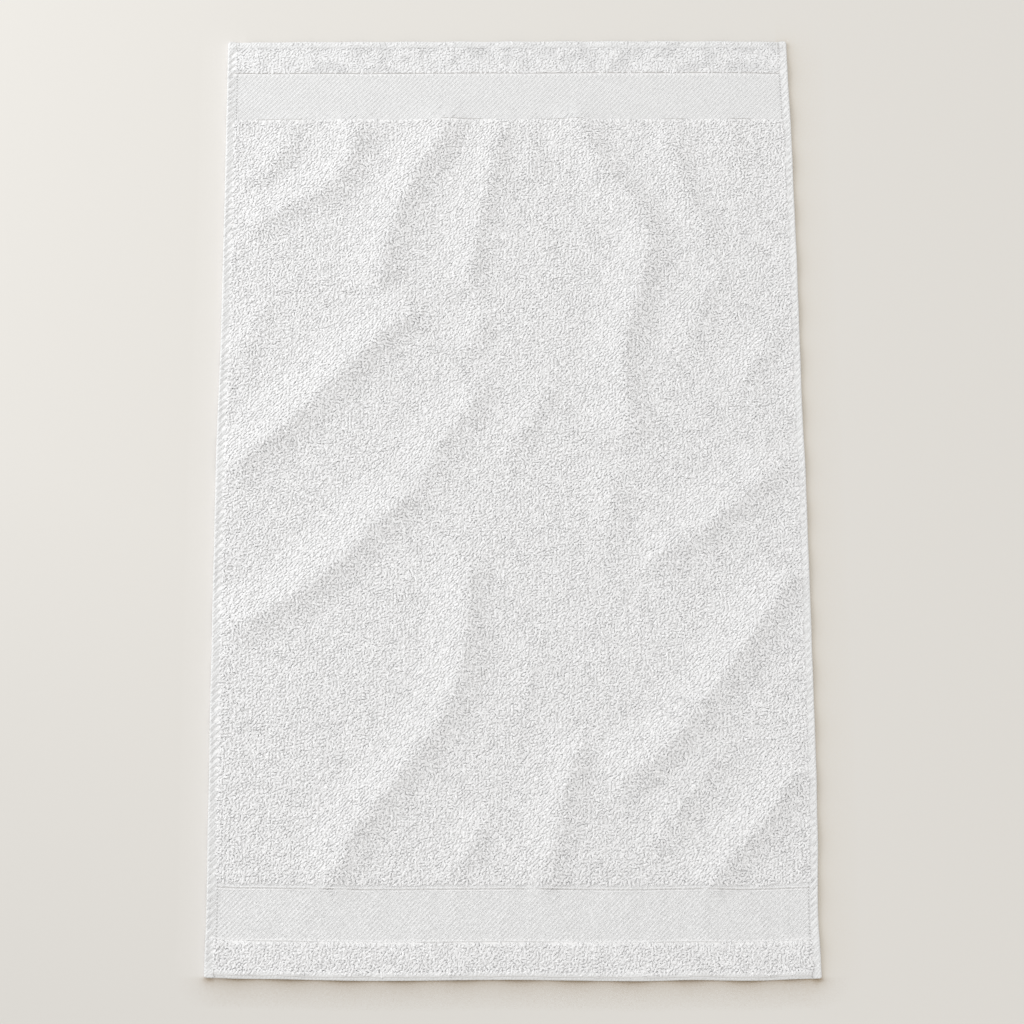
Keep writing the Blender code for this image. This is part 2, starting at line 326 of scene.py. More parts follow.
def makeCottonTone():
    # soft patches and fine specks between two whites, and a little uneven roughness
    group, given, result = newGroup(
        "cottonTone",
        [("Light", "NodeSocketColor", (0.88, 0.88, 0.88, 1)),
         ("Shade", "NodeSocketColor", (0.8, 0.8, 0.8, 1)),
         ("Patch", "NodeSocketFloat", 0.05), ("Speck", "NodeSocketFloat", 0.0015),
         ("Roughness", "NodeSocketFloat", 0.9)],
        [("Colour", "NodeSocketColor"), ("Roughness", "NodeSocketFloat")])
    where = addNode(group, "ShaderNodeTexCoord").outputs["Object"]
    patchScale = mathNode(group, "DIVIDE", 1.0, given.outputs["Patch"])
    speckScale = mathNode(group, "DIVIDE", 1.0, given.outputs["Speck"])
    patch = addNode(group, "ShaderNodeTexNoise", {"Vector": where, "Scale": patchScale, "Detail": 2.0})
    speck = addNode(group, "ShaderNodeTexNoise", {"Vector": where, "Scale": speckScale, "Detail": 1.0})
    share = mathNode(group, "ADD", mathNode(group, "MULTIPLY", patch.outputs["Fac"], 0.6),
                     mathNode(group, "MULTIPLY", speck.outputs["Fac"], 0.4))
    tone = addNode(group, "ShaderNodeMix", {0: share, 6: given.outputs["Shade"], 7: given.outputs["Light"]},
                   data_type="RGBA")
    rough = mathNode(group, "ADD", given.outputs["Roughness"],
                     mathNode(group, "MULTIPLY", mathNode(group, "SUBTRACT", share, 0.5), 0.12))
    group.links.new(tone.outputs[2], result.inputs["Colour"])
    group.links.new(rough, result.inputs["Roughness"])
    return group


def makeYarnRelief():
    # fibres of a soft twisted yarn, and thin curling creases between its turns, which also mark where
    # painted shade goes
    group, given, result = newGroup(
        "yarnRelief",
        [("Fibre", "NodeSocketFloat", 0.0009), ("Fuzz", "NodeSocketFloat", 0.0004),
         ("Curl", "NodeSocketFloat", 0.0045), ("Crease", "NodeSocketFloat", 0.0),
         ("Crease width", "NodeSocketFloat", 0.11), ("Parting", "NodeSocketFloat", 0.022),
         ("Parting width", "NodeSocketFloat", 0.0)],
        [("Height", "NodeSocketFloat"), ("Line", "NodeSocketFloat")])
    where = addNode(group, "ShaderNodeTexCoord").outputs["Object"]
    curl = addNode(group, "ShaderNodeTexNoise",
                   {"Vector": where, "Scale": mathNode(group, "DIVIDE", 1.0, given.outputs["Curl"]),
                    "Detail": 1.0, "Distortion": 1.3})
    away = mathNode(group, "ABSOLUTE", mathNode(group, "SUBTRACT", curl.outputs["Fac"], 0.5))
    line = addNode(group, "ShaderNodeMath",
                   {0: 1.0, 1: mathNode(group, "DIVIDE", away, given.outputs["Crease width"])},
                   operation="SUBTRACT", use_clamp=True).outputs[0]
    # longer lines where the pile parts, broken off here and there; like the creases, they carry painted
    # shade
    scale = mathNode(group, "DIVIDE", 1.0, given.outputs["Parting"])
    parting = addNode(group, "ShaderNodeTexNoise", {"Vector": where, "Scale": scale, "Detail": 2.0,
                                                    "Distortion": 1.0})
    away = mathNode(group, "ABSOLUTE", mathNode(group, "SUBTRACT", parting.outputs["Fac"], 0.5))
    near = addNode(group, "ShaderNodeMath",
                   {0: 1.0, 1: mathNode(group, "DIVIDE", away, given.outputs["Parting width"])},
                   operation="SUBTRACT", use_clamp=True).outputs[0]
    chance = addNode(group, "ShaderNodeTexNoise",
                     {"Vector": where, "Scale": mathNode(group, "MULTIPLY", scale, 0.8), "Detail": 0.0})
    broken = addNode(group, "ShaderNodeMath",
                     {0: mathNode(group, "SUBTRACT", chance.outputs["Fac"], 0.48), 1: 9.0},
                     operation="MULTIPLY", use_clamp=True).outputs[0]
    deep = mathNode(group, "MULTIPLY", mathNode(group, "MULTIPLY", near, broken), 1.8)
    line = mathNode(group, "MAXIMUM", line, deep)
    fibre = addNode(group, "ShaderNodeTexNoise",
                    {"Vector": where, "Scale": mathNode(group, "DIVIDE", 1.0, given.outputs["Fibre"]),
                     "Detail": 2.0, "Distortion": 1.2})
    fuzz = addNode(group, "ShaderNodeTexNoise",
                   {"Vector": where, "Scale": mathNode(group, "DIVIDE", 1.0, given.outputs["Fuzz"]),
                    "Detail": 1.0})
    height = mathNode(group, "ADD", fibre.outputs["Fac"],
                      mathNode(group, "MULTIPLY", fuzz.outputs["Fac"], 0.4))
    height = mathNode(group, "SUBTRACT", height, mathNode(group, "MULTIPLY", line, given.outputs["Crease"]))
    group.links.new(height, result.inputs["Height"])
    group.links.new(line, result.inputs["Line"])
    return group


def makeWeaveRelief():
    # two crossing sets of ribs, turned together, and grains: the face of a woven band or hem
    group, given, result = newGroup(
        "weaveRelief",
        [("Pitch", "NodeSocketFloat", 0.002), ("Slant", "NodeSocketFloat", 0.78),
         ("Cross", "NodeSocketFloat", 0.5), ("Wobble", "NodeSocketFloat", 1.0),
         ("Grain", "NodeSocketFloat", 1.0)],
        [("Height", "NodeSocketFloat"), ("Line", "NodeSocketFloat")])
    where = addNode(group, "ShaderNodeTexCoord").outputs["Object"]
    turn = addNode(group, "ShaderNodeCombineXYZ", {"Z": given.outputs["Slant"]}).outputs[0]
    turned = addNode(group, "ShaderNodeVectorRotate", {"Vector": where, "Rotation": turn},
                     rotation_type="EULER_XYZ").outputs[0]
    # a wave texture's rib is two pi over its scale, over twenty
    scale = mathNode(group, "DIVIDE", math.pi / 10, given.outputs["Pitch"])
    waves = []
    for direction in ("X", "Y"):
        waves.append(addNode(group, "ShaderNodeTexWave",
                             {"Vector": turned, "Scale": scale, "Distortion": given.outputs["Wobble"],
                              "Detail": 1.0}, bands_direction=direction).outputs["Fac"])
    height = mathNode(group, "ADD", waves[0], mathNode(group, "MULTIPLY", waves[1], given.outputs["Cross"]))
    grain = addNode(group, "ShaderNodeTexNoise",
                    {"Vector": where, "Scale": mathNode(group, "DIVIDE", 1.7, given.outputs["Pitch"]),
                     "Detail": 0.0}).outputs["Fac"]
    height = mathNode(group, "ADD", height, mathNode(group, "MULTIPLY", grain, given.outputs["Grain"]))
    # the low places between the threads, darkened as painted shade where a material asks for it: one where
    # they and the grain are lowest
    raised = mathNode(group, "ADD", mathNode(group, "MULTIPLY", waves[1], 0.4),
                      mathNode(group, "SUBTRACT", grain, 0.2))
    line = addNode(group, "ShaderNodeMath", {0: 1.0, 1: raised},
                   operation="SUBTRACT", use_clamp=True).outputs[0]
    group.links.new(height, result.inputs["Height"])
    group.links.new(line, result.inputs["Line"])
    return group


cottonTone = makeCottonTone()
yarnRelief = makeYarnRelief()
weaveRelief = makeWeaveRelief()


def clothMaterial(name, light, shade, roughness, relief, reliefValues, depth, sheen=0.0, patch=0.05,
                  lineShade=0.0):
    material = bpy.data.materials.new(name)
    material.use_nodes = True
    tree = material.node_tree
    shader = tree.nodes["Principled BSDF"]
    tone = addNode(tree, "ShaderNodeGroup", node_tree=cottonTone)
    tone.inputs["Light"].default_value = (*light, 1)
    tone.inputs["Shade"].default_value = (*shade, 1)
    tone.inputs["Roughness"].default_value = roughness
    tone.inputs["Patch"].default_value = patch
    tree.links.new(tone.outputs["Roughness"], shader.inputs["Roughness"])
    ribs = addNode(tree, "ShaderNodeGroup", node_tree=relief)
    for key, value in reliefValues.items():
        ribs.inputs[key].default_value = value
    colour = tone.outputs["Colour"]
    if lineShade:
        # painted shade: the creases and the low places between threads are darker by this share
        share = mathNode(tree, "MULTIPLY", ribs.outputs["Line"], lineShade)
        colour = addNode(tree, "ShaderNodeMix", {0: share, 6: colour, 7: (0, 0, 0, 1)},
                         data_type="RGBA").outputs[2]
    tree.links.new(colour, shader.inputs["Base Color"])
    bump = addNode(tree, "ShaderNodeBump",
                   {"Height": ribs.outputs["Height"], "Distance": depth, "Strength": 1.0})
    tree.links.new(bump.outputs["Normal"], shader.inputs["Normal"])
    shader.inputs["Sheen Weight"].default_value = sheen
    shader.inputs["Sheen Roughness"].default_value = 0.5
    shader.inputs["Specular IOR Level"].default_value = 0.2
    return material


terryYarn = clothMaterial("terryYarn", (0.949, 0.948, 0.957), (0.919, 0.918, 0.927), 0.92, yarnRelief,
                          {"Fibre": 0.0016, "Fuzz": 0.0008, "Curl": 0.0043, "Crease": 0.55,
                           "Crease width": 0.13, "Parting width": 0.018},
                          0.00043, sheen=0.15, patch=0.012, lineShade=0.15)
stripYarn = clothMaterial("stripYarn", (0.865, 0.866, 0.875), (0.838, 0.839, 0.848), 0.92, yarnRelief,
                          {"Fibre": 0.0016, "Fuzz": 0.0008, "Curl": 0.0043, "Crease": 0.4,
                           "Crease width": 0.14}, 0.00025, sheen=0.15, patch=0.012, lineShade=0.07)
terryBase = clothMaterial("terryBase", (0.92, 0.918, 0.922), (0.87, 0.868, 0.872), 0.95, yarnRelief,
                          {"Fibre": 0.0024, "Fuzz": 0.0008}, 0.0009)
terryUnder = clothMaterial("terryUnder", (0.90, 0.91, 0.92), (0.80, 0.81, 0.82), 0.95, yarnRelief,
                           {"Fibre": 0.0045, "Fuzz": 0.0012}, 0.0016)
upperWeave = clothMaterial("upperWeave", (0.855, 0.856, 0.862), (0.815, 0.816, 0.822), 0.85, weaveRelief,
                           {"Pitch": 0.0027, "Slant": math.radians(45), "Cross": 3.0, "Wobble": 1.5,
                            "Grain": 2.4}, 0.00024, lineShade=0.09)
lowerWeave = clothMaterial("lowerWeave", (0.945, 0.946, 0.953), (0.905, 0.906, 0.913), 0.85, weaveRelief,
                           {"Pitch": 0.0026, "Slant": math.radians(45), "Cross": 2.6, "Wobble": 1.5,
                            "Grain": 4.0}, 0.00028, lineShade=0.20)
hemWeave = clothMaterial("hemWeave", (0.80, 0.802, 0.806), (0.75, 0.752, 0.756), 0.88, weaveRelief,
                         {"Pitch": 0.0040, "Slant": math.radians(40), "Cross": 0.5, "Wobble": 2.0,
                          "Grain": 2.4}, 0.00045, lineShade=0.07)
# painted shade: a dark material for thin lines laid where shade falls, in creases and at the corner seams
creaseShade = clothMaterial("creaseShade", (0.56, 0.55, 0.54), (0.46, 0.45, 0.44), 0.95, yarnRelief,
                            {"Fibre": 0.0010, "Fuzz": 0.0005}, 0.00020)
# painted shade, lighter: the loops' scalloped shadow on the lower hem and faint lines at the lower band
faintShade = clothMaterial("faintShade", (0.71, 0.705, 0.70), (0.63, 0.625, 0.62), 0.95, yarnRelief,
                           {"Fibre": 0.0010, "Fuzz": 0.0005}, 0.00020)
# painted shade: the stitches are dark like the shaded holes they sit in, not like white thread
sewingThread = clothMaterial("sewingThread", (0.54, 0.535, 0.53), (0.47, 0.465, 0.46), 0.75, yarnRelief,
                             {"Fibre": 0.0005, "Fuzz": 0.0003}, 0.00010)
print("cloth materials made")


# Ground cloth: the woven sheet under the loops and ribs

ground = {
    "gridStep": 0.0095,
    "edgeTuck": 0.003,        # its edge lies this far inside the turned hem
    "thick": 0.0018,
}


def makeGroundCloth():
    reachU = halfWidth - ground["edgeTuck"]
    reachV = halfLength - ground["edgeTuck"]
    columns = round(2 * reachU / ground["gridStep"]) + 1
    rows = round(2 * reachV / ground["gridStep"]) + 1
    u, v = np.meshgrid(np.linspace(-reachU, reachU, columns), np.linspace(-reachV, reachV, rows))
    u, v = u.ravel(), v.ravel()
    lower = drape(np.stack([u, v, np.zeros_like(u)], axis=1))
    upper = drape(np.stack([u, v, np.full_like(u, ground["thick"])], axis=1))
    faces = gridFaces(rows, columns, len(lower)) + gridFaces(rows, columns, flip=True)
    rim = list(range(columns)) + [r * columns + columns - 1 for r in range(1, rows)]
    rim += [(rows - 1) * columns + c for c in range(columns - 2, -1, -1)]
    rim += [r * columns for r in range(rows - 2, 0, -1)]
    top = len(lower)
    for a, b in zip(rim, rim[1:] + rim[:1]):
        faces.append((a, b, b + top, a + top))
    made = makeObject("groundCloth", np.concatenate([lower, upper]), faces, terryBase)
    made.data.materials.append(upperWeave)
    made.data.materials.append(terryUnder)
    # the upper faces come first, row by row, then the lower ones and the rim
    rowCentre = (v.reshape(rows, columns)[:-1, 0] + v.reshape(rows, columns)[1:, 0]) / 2
    woven = np.abs(rowCentre) > halfLength - zones[0][1]
    for name in ("lowerBand", "upperBand"):
        start, end = zoneSpan(name)
        woven |= (rowCentre > start) & (rowCentre < end)
    kinds = np.full(len(faces), 2)
    kinds[:(rows - 1) * (columns - 1)] = np.repeat(woven.astype(int), columns - 1)
    made.data.polygons.foreach_set("material_index", kinds)
    return made


groundCloth = finishPiece(makeGroundCloth())
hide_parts("bath_sheet_cloth")
print("ground cloth", len(groundCloth.data.polygons), "faces")


# Turned hems: rope-like ribs down the sides, plain woven across the ends

sideHem = {
    "leftWidth": 0.0140,
    "rightWidth": 0.0124,
    "thick": 0.0042,
    "step": 0.0015,
    "ribPitch": 0.0124,
    "ribDepth": 0.0036,
    "deepest": 0.8,           # a groove takes no more of the hem's height than this
    "ribSoftness": 0.72,      # above zero; small values give narrow grooves
    "leftSlant": 0.60,        # how far a rib climbs for each step across the hem
    "rightSlant": 0.90,
    "squareEnd": 0.0128,      # a seam crosses the hem here, with plain cloth beyond it
    "seamDepth": 0.0010,
    "seamWidth": 0.0011,
    "cornerRound": 0.0030,
}
endHem = {
    "width": 0.0125,
    "thick": 0.0037,
    "step": 0.004,
    "waver": 0.0003,
    "lowerFall": 1.45,        # how much the lower hem falls towards its edge; the upper one falls less
    "upperFall": 0.85,
}

# a hem cut across: distance from the outer edge, then height, as shares of its width and thickness
hemShape = [(0.06, 0.0), (0.95, 0.0), (1.0, 0.28), (0.95, 0.52), (0.82, 0.64), (0.66, 0.73),
            (0.50, 0.83), (0.33, 0.93), (0.18, 1.0), (0.06, 0.84), (0.0, 0.42)]
hemAcross, hemUp = np.array(hemShape).T

# an end hem falls gently towards the outer edge instead
endShape = [(0.05, 0.0), (0.95, 0.0), (1.0, 0.40), (0.94, 0.82), (0.78, 1.0), (0.56, 0.97),
            (0.34, 0.86), (0.16, 0.70), (0.05, 0.46), (0.0, 0.20)]
endAcross, endUp = np.array(endShape).T


def makeSideHem(name, side, width, slant):
    along = np.linspace(-halfLength, halfLength, round(cloth["length"] / sideHem["step"]) + 1)
    v, share = np.meshgrid(along, hemAcross, indexing="ij")
    height = np.broadcast_to(hemUp, v.shape) * sideHem["thick"]
    fromEnd = halfLength - np.abs(v)
    corner = sideHem["cornerRound"]
    bite = corner - np.sqrt(corner ** 2 - np.clip(corner - fromEnd, 0, corner) ** 2)
    inward = share * width + bite * (1 - share)
    u = side * (halfWidth - inward)
    # rope-like lobes between slanting grooves, deeper in some stretches than in others
    drift = 0.22 * np.sin(v * 41.0 + side) + 0.16 * np.sin(v * 97.0)
    place = (v - slant * u) / sideHem["ribPitch"] + drift
    lobe = np.abs(np.sin(np.pi * place)) ** sideHem["ribSoftness"]
    depth = sideHem["ribDepth"] * (0.72 + 0.28 * np.sin(v * 23.0 + 2 * side))
    plain = smoothStep((fromEnd - sideHem["squareEnd"] - 0.001) / 0.003)
    backShare = smoothStep((share - 0.08) / 0.22) * (height > 0.4 * sideHem["thick"])
    groove = np.minimum(depth * (1 - lobe), sideHem["deepest"] * height)
    height = height - groove * plain * backShare
    seam = np.exp(-((fromEnd - sideHem["squareEnd"]) / sideHem["seamWidth"]) ** 2)
    height = height - sideHem["seamDepth"] * seam * (height > 0.4 * sideHem["thick"])
    points = drape(np.stack([u.ravel(), v.ravel(), height.ravel()], axis=1))
    made = makeObject(name, points, tubeFaces(len(along), len(hemShape)), hemWeave)
    turnOutwards(made)
    return made


def makeEndHem(name, side, fall):
    reach = halfWidth - sideHem["rightWidth"] / 3
    along = np.linspace(-reach, reach, round(2 * reach / endHem["step"]) + 1)
    u, share = np.meshgrid(along, endAcross, indexing="ij")
    height = np.broadcast_to(endUp ** fall, u.shape) * endHem["thick"]
    height = height * (1 + endHem["waver"] / endHem["thick"] * np.sin(u * 83.0 + side))
    v = side * (halfLength - share * endHem["width"])
    points = drape(np.stack([u.ravel(), v.ravel(), height.ravel()], axis=1))
    made = makeObject(name, points, tubeFaces(len(along), len(endShape)), hemWeave)
    turnOutwards(made)
    return made


hems = [finishPiece(makeSideHem("sideHemLeft", -1, sideHem["leftWidth"], sideHem["leftSlant"])),
        finishPiece(makeSideHem("sideHemRight", 1, sideHem["rightWidth"], sideHem["rightSlant"])),
        finishPiece(makeEndHem("endHemLower", -1, endHem["lowerFall"])),
        finishPiece(makeEndHem("endHemUpper", 1, endHem["upperFall"]))]
print("hems", sum(len(hem.data.polygons) for hem in hems), "faces")


# Diagonal ribs of the two woven bands

ribs = {
    "upperPitch": 0.0075,     # along the band
    "lowerPitch": 0.0070,
    "slope": 1.06,            # rise over run
    "width": 0.0056,
    "height": 0.00074,
    "sink": 0.00040,          # how far the middle of a rib lies below the cloth's face
    "sides": 6,
    "stretch": 0.010,         # length of one piece of a rib
    "waver": 0.0004,
    "waverSize": 0.020,
    "unevenness": 0.0003,     # some ribs lie closer to their neighbours
}

# thin lines: name, width, height, waver, size of the wavering, height of the cloth there,
# and the ends of each stretch across and along the cloth
upperBandStart, upperBandEnd = zoneSpan("upperBand")
lowerBandStart, lowerBandEnd = zoneSpan("lowerBand")
bandReach = halfWidth - cloth["sideHem"]
cornerReach = bandReach - 0.0010
hemStart = halfLength - endHem["width"] - 0.0004
cords = [
    ("cordOuter", 0.0015, 0.0014, 0.0006, 0.09, ground["thick"],
     [(-bandReach, lowerBandEnd - 0.0068, bandReach, lowerBandEnd - 0.0068)]),
    ("cordInner", 0.0015, 0.0013, 0.0006, 0.07, ground["thick"],
     [(-bandReach, lowerBandEnd - 0.0114, bandReach, lowerBandEnd - 0.0114)]),
    ("cordUpperBand", 0.0016, 0.0012, 0.0012, 0.11, ground["thick"],
     [(-bandReach, upperBandEnd + 0.0008, bandReach, upperBandEnd + 0.0008)]),
    ("cordLowerBand", 0.0014, 0.0010, 0.0006, 0.08, ground["thick"],
     [(-bandReach, lowerBandStart + 0.0014, bandReach, lowerBandStart + 0.0014)]),
]
# dark lines of painted shade, laid in the creases where the loops end and at the corner seams
creases = [
    ("creaseUpperStrip", 0.0017, 0.0011, 0.0011, 0.10, ground["thick"],
     [(-bandReach, upperBandEnd + 0.0028, bandReach, upperBandEnd + 0.0028)]),
    ("creaseUpperField", 0.0011, 0.0010, 0.0010, 0.06, ground["thick"],
     [(0.246, upperBandStart + 0.0016, 0.284, upperBandStart + 0.0016),
      (0.354, upperBandStart + 0.0016, 0.386, upperBandStart + 0.0016),
      (-0.402, upperBandStart + 0.0010, -0.330, upperBandStart + 0.0010),
      (-0.106, upperBandStart + 0.0016, -0.040, upperBandStart + 0.0016),
      (0.052, upperBandStart + 0.0012, 0.118, upperBandStart + 0.0012)]),
    ("creaseLowerBand", 0.0010, 0.0009, 0.0006, 0.08, ground["thick"],
     [(-bandReach, lowerBandEnd - 0.0091, bandReach, lowerBandEnd - 0.0091)]),
    ("creaseCorners", 0.0011, 0.0010, 0.0002, 0.03, endHem["thick"] * 0.98,
     [(-cornerReach, hemStart, -cornerReach, halfLength - 0.003),
      (cornerReach, hemStart, cornerReach, halfLength - 0.003),
      (-cornerReach, -hemStart, -cornerReach, 0.003 - halfLength),
      (cornerReach, -hemStart, cornerReach, 0.003 - halfLength)]),
]
# lighter lines of painted shade: the loops' shadow on the lower hem, and faint lines along the lower band
faintCreases = [
    ("creaseLowerHem", 0.0022, 0.0010, 0.0014, 0.012, endHem["thick"] * 0.86,
     [(-bandReach, 0.0053 - halfLength, bandReach, 0.0053 - halfLength)]),
    ("creaseLowerStrip", 0.0010, 0.0009, 0.0006, 0.08, ground["thick"],
     [(-0.390, lowerBandStart - 0.0004, -0.290, lowerBandStart - 0.0004),
      (-0.140, lowerBandStart - 0.0004, 0.060, lowerBandStart - 0.0004),
      (0.210, lowerBandStart - 0.0004, 0.330, lowerBandStart - 0.0004)]),
]


def makeRibTree():
    tree = bpy.data.node_groups.new("bandRibs", "GeometryNodeTree")
    tree.interface.new_socket(name="Geometry", in_out="INPUT", socket_type="NodeSocketGeometry")
    for name, kind in (("Rib width", "NodeSocketFloat"), ("Rib height", "NodeSocketFloat"),
                       ("Waver", "NodeSocketFloat"), ("Waver size", "NodeSocketFloat"),
                       ("Sides", "NodeSocketInt"), ("Weave", "NodeSocketMaterial")):
        tree.interface.new_socket(name=name, in_out="INPUT", socket_type=kind)
    tree.interface.new_socket(name="Geometry", in_out="OUTPUT", socket_type="NodeSocketGeometry")
    given = tree.nodes.new("NodeGroupInput")
    result = tree.nodes.new("NodeGroupOutput")
    lines = addNode(tree, "GeometryNodeMeshToCurve", {"Mesh": given.outputs["Geometry"]})
    where = addNode(tree, "GeometryNodeInputPosition").outputs[0]
    noise = addNode(tree, "ShaderNodeTexNoise",
                    {"Vector": where, "Scale": mathNode(tree, "DIVIDE", 1.0, given.outputs["Waver size"]),
                     "Detail": 1.0})
    centred = addNode(tree, "ShaderNodeVectorMath", {0: noise.outputs["Color"], 1: (0.5, 0.5, 0.5)},
                      operation="SUBTRACT").outputs[0]
    size = mathNode(tree, "MULTIPLY", given.outputs["Waver"], 2.0)
    offset = addNode(tree, "ShaderNodeVectorMath", {0: centred, "Scale": size}, operation="SCALE").outputs[0]
    flat = addNode(tree, "ShaderNodeVectorMath", {0: offset, 1: (1, 1, 0)}, operation="MULTIPLY").outputs[0]
    moved = addNode(tree, "GeometryNodeSetPosition", {"Geometry": lines.outputs[0], "Offset": flat})
    upright = addNode(tree, "GeometryNodeSetCurveNormal", {"Curve": moved.outputs[0]}, mode="Z_UP")
    circle = addNode(tree, "GeometryNodeCurvePrimitiveCircle",
                     {"Resolution": given.outputs["Sides"], "Radius": 0.5})
    section = addNode(tree, "ShaderNodeCombineXYZ",
                      {"X": given.outputs["Rib width"], "Y": given.outputs["Rib height"], "Z": 1.0})
    profile = addNode(tree, "GeometryNodeTransform",
                      {"Geometry": circle.outputs["Curve"], "Scale": section.outputs[0]})
    tubes = addNode(tree, "GeometryNodeCurveToMesh",
                    {"Curve": upright.outputs[0], "Profile Curve": profile.outputs[0], "Fill Caps": True})
    whole = addNode(tree, "GeometryNodeRealizeInstances", {"Geometry": tubes.outputs[0]})
    finished = addNode(tree, "GeometryNodeSetMaterial",
                       {"Geometry": whole.outputs[0], "Material": given.outputs["Weave"]})
    tree.links.new(finished.outputs[0], result.inputs[0])
    return tree


def runNodes(carrier, tree, values):
    # runs a node tree on a carrier and returns the plain mesh, laid over the folds
    modifier = carrier.modifiers.new(tree.name, "NODES")
    modifier.node_group = tree
    for item in tree.interface.items_tree:
        if item.in_out == "INPUT" and item.name in values:
            modifier[item.identifier] = values[item.name]
    bpy.context.view_layer.update()
    graph = bpy.context.evaluated_depsgraph_get()
    mesh = bpy.data.meshes.new_from_object(carrier.evaluated_get(graph))
    co = np.zeros(len(mesh.vertices) * 3, np.float32)
    mesh.vertices.foreach_get("co", co)
    mesh.vertices.foreach_set("co", drape(co).astype(np.float32).ravel())
    mesh.update()
    mesh.shade_smooth()
    name = carrier.name
    bpy.data.objects.remove(carrier)
    mesh.name = name
    made = bpy.data.objects.new(name, mesh)
    bpy.context.scene.collection.objects.link(made)
    return made


def makeBandRibs(name, zone, pitch, tree, material):
    # each rib is a slanting line from one long side of the band to the other, cut off at the side hems
    start, end = zoneSpan(zone)
    reach = bandReach
    run = (end - start) / ribs["slope"]
    points, lines = [], []
    for number in range(math.floor((2 * reach + run) / pitch)):
        foot = -reach - run + (number + 0.5) * pitch + ribs["unevenness"] * math.sin(2.3 * number)
        low = max(foot, -reach)
        high = min(foot + run, reach)
        pieces = max(round((high - low) * math.hypot(1, ribs["slope"]) / ribs["stretch"]), 1)
        for piece in range(pieces + 1):
            u = low + (high - low) * piece / pieces
            if piece:
                lines.append((len(points) - 1, len(points)))
            points.append((u, start + (u - foot) * ribs["slope"], ground["thick"] - ribs["sink"]))
    mesh = bpy.data.meshes.new(name)
    mesh.from_pydata(points, lines, [])
    carrier = bpy.data.objects.new(name, mesh)
    bpy.context.scene.collection.objects.link(carrier)
    return runNodes(carrier, tree, {
        "Rib width": ribs["width"], "Rib height": ribs["height"] * 2, "Waver": ribs["waver"],
        "Waver size": ribs["waverSize"], "Sides": ribs["sides"], "Weave": material})


def makeThinLines(line, tree, material):
    name, width, height, waver, waverSize, base, stretches = line
    points, edgesAlong = [], []
    for startU, startV, endU, endV in stretches:
        count = max(round(math.hypot(endU - startU, endV - startV) / ribs["stretch"]), 2)
        for k in range(count + 1):
            if k:
                edgesAlong.append((len(points) - 1, len(points)))
            points.append((startU + (endU - startU) * k / count, startV + (endV - startV) * k / count, base))
    mesh = bpy.data.meshes.new(name)
    mesh.from_pydata(points, edgesAlong, [])
    carrier = bpy.data.objects.new(name, mesh)
    bpy.context.scene.collection.objects.link(carrier)
    return runNodes(carrier, tree, {
        "Rib width": width, "Rib height": height, "Waver": waver, "Waver size": waverSize,
        "Sides": ribs["sides"], "Weave": material})


ribTree = makeRibTree()
bands = [makeBandRibs("bandRibsUpper", "upperBand", ribs["upperPitch"], ribTree, upperWeave),
         makeBandRibs("bandRibsLower", "lowerBand", ribs["lowerPitch"], ribTree, lowerWeave)]
bands += [makeThinLines(line, ribTree, terryYarn) for line in cords]
# the creases and faint creases are painted shade, not cloth of another colour
bands += [makeThinLines(line, ribTree, creaseShade) for line in creases]
bands += [makeThinLines(line, ribTree, faintShade) for line in faintCreases]
for band in bands:
    finishPiece(band)
    print(band.name, sum(len(face.vertices) - 2 for face in band.data.polygons), "triangles")


# Stitches beside the bands and at the corners, dark with painted shade

stitches = {
    "length": 0.0026,
    "width": 0.0011,
    "pitch": 0.0048,
    "fromHem": 0.0016,        # the sewing line lies this far inside the side hem
    "height": 0.0024,
    "start": 0.606,           # from the edge of the band to the corner
    "end": 0.748,
}


def makeStitchShape():
    # a short four-sided thread with pointed ends
    half, wide = stitches["length"] / 2, stitches["width"] / 2
    points = [(-half, 0, 0)]
    for x in (-half * 0.6, half * 0.6):
        points += [(x, 0, wide), (x, -wide, 0), (x, 0, -wide), (x, wide, 0)]
    points.append((half, 0, 0))
    faces = [(0, 1 + (k + 1) % 4, 1 + k) for k in range(4)]
    faces += [(1 + k, 1 + (k + 1) % 4, 5 + (k + 1) % 4, 5 + k) for k in range(4)]
    faces += [(5 + k, 5 + (k + 1) % 4, 9) for k in range(4)]
    made = makeObject("stitchShape", np.array(points), faces)
    turnOutwards(made)
    return made


def makeStitchTree():
    tree = bpy.data.node_groups.new("hemStitches", "GeometryNodeTree")
    tree.interface.new_socket(name="Geometry", in_out="INPUT", socket_type="NodeSocketGeometry")
    for name, kind in (("Pitch", "NodeSocketFloat"), ("Shape", "NodeSocketObject"),
                       ("Thread", "NodeSocketMaterial")):
        tree.interface.new_socket(name=name, in_out="INPUT", socket_type=kind)
    tree.interface.new_socket(name="Geometry", in_out="OUTPUT", socket_type="NodeSocketGeometry")
    given = tree.nodes.new("NodeGroupInput")
    result = tree.nodes.new("NodeGroupOutput")
    lines = addNode(tree, "GeometryNodeMeshToCurve", {"Mesh": given.outputs["Geometry"]})
    spaced = addNode(tree, "GeometryNodeResampleCurve", {"Curve": lines.outputs[0],
                                                         "Length": given.outputs["Pitch"]}, mode="LENGTH")
    along = addNode(tree, "GeometryNodeInputTangent").outputs[0]
    turned = addNode(tree, "FunctionNodeAlignRotationToVector", {"Vector": along}, axis="X")
    shape = addNode(tree, "GeometryNodeObjectInfo", {"Object": given.outputs["Shape"]})
    placed = addNode(tree, "GeometryNodeInstanceOnPoints",
                     {"Points": spaced.outputs[0], "Instance": shape.outputs["Geometry"],
                      "Rotation": turned.outputs[0]})
    whole = addNode(tree, "GeometryNodeRealizeInstances", {"Geometry": placed.outputs[0]})
    finished = addNode(tree, "GeometryNodeSetMaterial",
                       {"Geometry": whole.outputs[0], "Material": given.outputs["Thread"]})
    tree.links.new(finished.outputs[0], result.inputs[0])
    return tree


